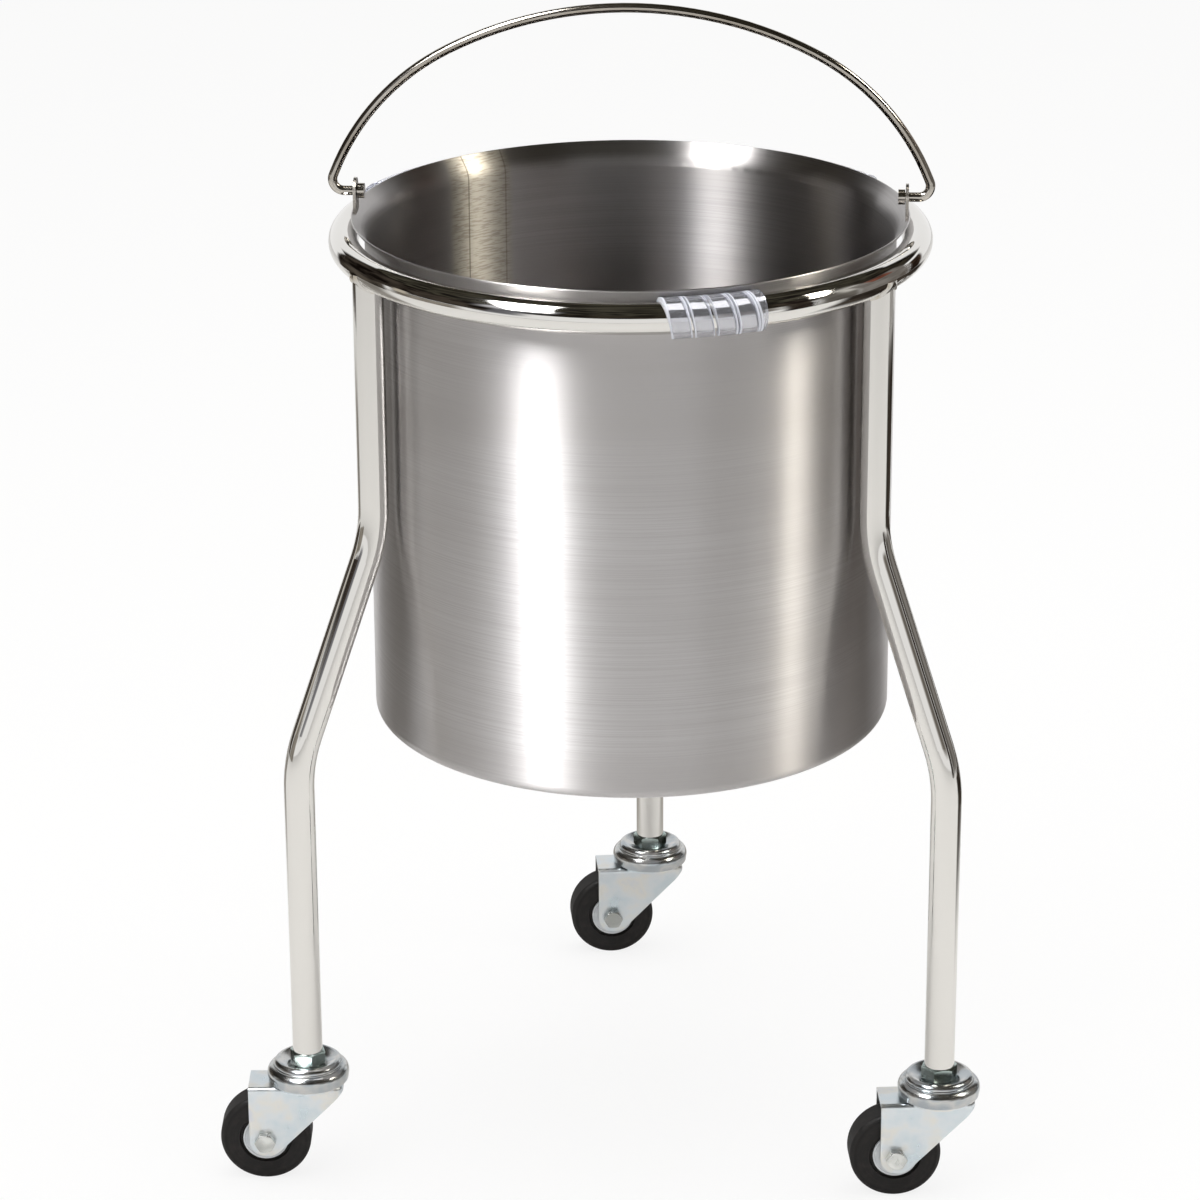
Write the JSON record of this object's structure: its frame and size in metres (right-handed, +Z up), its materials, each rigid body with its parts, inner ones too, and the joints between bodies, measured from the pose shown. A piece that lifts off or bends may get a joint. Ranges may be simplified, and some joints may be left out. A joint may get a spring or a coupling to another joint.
{
  "type": "surgical kick bucket",
  "caption": "Round stainless pail with a wire bail, lifted out of a polished tube ring that stands on cranked legs with swivel casters, so it can be pushed about with the foot.",
  "frame": {"origin": "on the floor under the axis of the ring and the pail", "axes": "+Z up along the pail's axis, X along the bail's hinge line, +Y towards the rear leg; the casters trail towards -X"},
  "size_m": [0.4098, 0.3756, 0.6258],
  "materials": {
    "polished_steel": "mirror-polished stainless steel tube",
    "weld_steel": "stainless fillet weld, brushed clean",
    "satin_steel": "satin stainless sheet, brushed round the pail",
    "wire_steel": "drawn stainless wire",
    "zinc_plate": "bright zinc plate with a blue passivate",
    "ball_steel": "polished hardened steel balls",
    "clear_plastic": "clear polyethylene spiral wrap",
    "hub_plastic": "light grey moulded nylon",
    "tyre_rubber": "hard black rubber, semi-matt"
  },
  "bodies": {
    "frame": {"ring_tube": "polished_steel", "leg_rear": "polished_steel", "leg_weld_rear": "weld_steel", "leg_plug_rear": "zinc_plate", "caster_stem_rear": "zinc_plate", "caster_cover_rear": "zinc_plate", "swivel_balls_rear": "ball_steel", "swivel_washer_rear": "zinc_plate", "leg_left": "polished_steel", "leg_weld_left": "weld_steel", "leg_plug_left": "zinc_plate", "caster_stem_left": "zinc_plate", "caster_cover_left": "zinc_plate", "swivel_balls_left": "ball_steel", "swivel_washer_left": "zinc_plate", "leg_right": "polished_steel", "leg_weld_right": "weld_steel", "leg_plug_right": "zinc_plate", "caster_stem_right": "zinc_plate", "caster_cover_right": "zinc_plate", "swivel_balls_right": "ball_steel", "swivel_washer_right": "zinc_plate", "spiral_wrap_front": "clear_plastic", "spiral_wrap_right": "clear_plastic", "spiral_wrap_left": "clear_plastic"},
    "pail": {"pail_wall": "satin_steel", "pail_base": "satin_steel", "ear_left": "satin_steel", "ear_right": "satin_steel"},
    "bail": {"bail": "wire_steel"},
    "fork_rear": {"fork_rear": "zinc_plate", "axle_bush_rear": "zinc_plate", "axle_bolt_rear": "zinc_plate", "axle_nut_rear": "zinc_plate"},
    "wheel_rear": {"wheel_hub_rear": "hub_plastic", "wheel_tyre_rear": "tyre_rubber"},
    "fork_left": {"fork_left": "zinc_plate", "axle_bush_left": "zinc_plate", "axle_bolt_left": "zinc_plate", "axle_nut_left": "zinc_plate"},
    "wheel_left": {"wheel_hub_left": "hub_plastic", "wheel_tyre_left": "tyre_rubber"},
    "fork_right": {"fork_right": "zinc_plate", "axle_bush_right": "zinc_plate", "axle_bolt_right": "zinc_plate", "axle_nut_right": "zinc_plate"},
    "wheel_right": {"wheel_hub_right": "hub_plastic", "wheel_tyre_right": "tyre_rubber"}
  },
  "joints": [
    {"name": "pail_lift", "type": "slide", "parent": "frame", "child": "pail", "axis": [0, 0, 1], "range_m": [0, 0.3]},
    {"name": "bail_hinge", "type": "hinge", "parent": "pail", "child": "bail", "pos_m": [0, 0, 0.525], "axis": [1, 0, 0], "range_deg": [-100, 100]},
    {"name": "swivel_rear", "type": "hinge", "parent": "frame", "child": "fork_rear", "pos_m": [0, 0.196, 0.056], "axis": [0, 0, 1], "continuous": true},
    {"name": "wheel_spin_rear", "type": "hinge", "parent": "fork_rear", "child": "wheel_rear", "pos_m": [-0.02324, 0.19253, 0.0245], "axis": [-0.1478, 0.989, 0], "continuous": true},
    {"name": "swivel_left", "type": "hinge", "parent": "frame", "child": "fork_left", "pos_m": [-0.16974, -0.098, 0.056], "axis": [0, 0, 1], "continuous": true},
    {"name": "wheel_spin_left", "type": "hinge", "parent": "fork_left", "child": "wheel_left", "pos_m": [-0.1932, -0.09943, 0.0245], "axis": [-0.061, 0.9981, 0], "continuous": true},
    {"name": "swivel_right", "type": "hinge", "parent": "frame", "child": "fork_right", "pos_m": [0.16974, -0.098, 0.056], "axis": [0, 0, 1], "continuous": true},
    {"name": "wheel_spin_right", "type": "hinge", "parent": "fork_right", "child": "wheel_right", "pos_m": [0.14639, -0.10066, 0.0245], "axis": [-0.1132, 0.9936, 0], "continuous": true}
  ]
}
